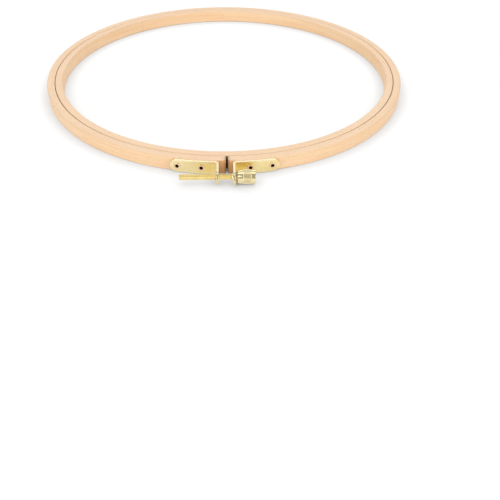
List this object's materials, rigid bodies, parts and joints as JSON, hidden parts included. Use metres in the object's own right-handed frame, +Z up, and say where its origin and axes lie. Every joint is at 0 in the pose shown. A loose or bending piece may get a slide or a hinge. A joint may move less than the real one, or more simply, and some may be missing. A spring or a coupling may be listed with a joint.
{
  "type": "embroidery hoop",
  "caption": "Two-ring wooden embroidery hoop: a split outer ring tightened round a plain inner ring by a thumb screw through two bent brass brackets.",
  "frame": {"origin": "centre of the hoop, half way up its rings, on the axis of the inner ring's bore", "axes": "+Z up along the rings' axis, -Y towards the clamp, +X along the clamp screw towards its knob"},
  "size_m": [0.265, 0.2822, 0.0094],
  "materials": {
    "beech": "satin",
    "bracket_brass": "satin",
    "eyelet_brass": "polished",
    "screw_brass": "polished",
    "washer_brass": "satin",
    "knob_brass": "polished"
  },
  "bodies": {
    "outer_left": {"outer_ring_left": "beech", "bracket_left": "bracket_brass", "eyelet_left_inner": "eyelet_brass", "eyelet_left_outer": "eyelet_brass"},
    "outer_right": {"outer_ring_right": "beech", "bracket_right": "bracket_brass", "eyelet_right_inner": "eyelet_brass", "eyelet_right_outer": "eyelet_brass"},
    "inner": {"inner_ring": "beech"},
    "washer": {"washer": "washer_brass"},
    "screw": {"clamp_screw": "screw_brass", "knob": "knob_brass"}
  },
  "joints": [
    {"name": "screw_turn", "type": "hinge", "parent": "washer", "child": "screw", "pos_m": [0, -0.1435, 0], "axis": [1, 0, 0], "range_deg": [0, 3243.24]},
    {"name": "screw_advance", "type": "slide", "parent": "outer_left", "child": "washer", "axis": [1, 0, 0], "range_m": [0, 0.0063]},
    {"name": "ring_opening", "type": "hinge", "parent": "outer_left", "child": "outer_right", "pos_m": [0, 0.13255, 0], "axis": [0, 0, 1], "range_deg": [0, 1.29]},
    {"name": "inner_ring_lift", "type": "slide", "parent": "outer_left", "child": "inner", "axis": [0, 0, 1], "range_m": [0, 0.03]}
  ],
  "couplings": [
    {"joint": "screw_turn", "follows": "screw_advance", "rad_per_m": 8976},
    {"joint": "ring_opening", "follows": "screw_advance", "rad_per_m": 3.5628}
  ]
}
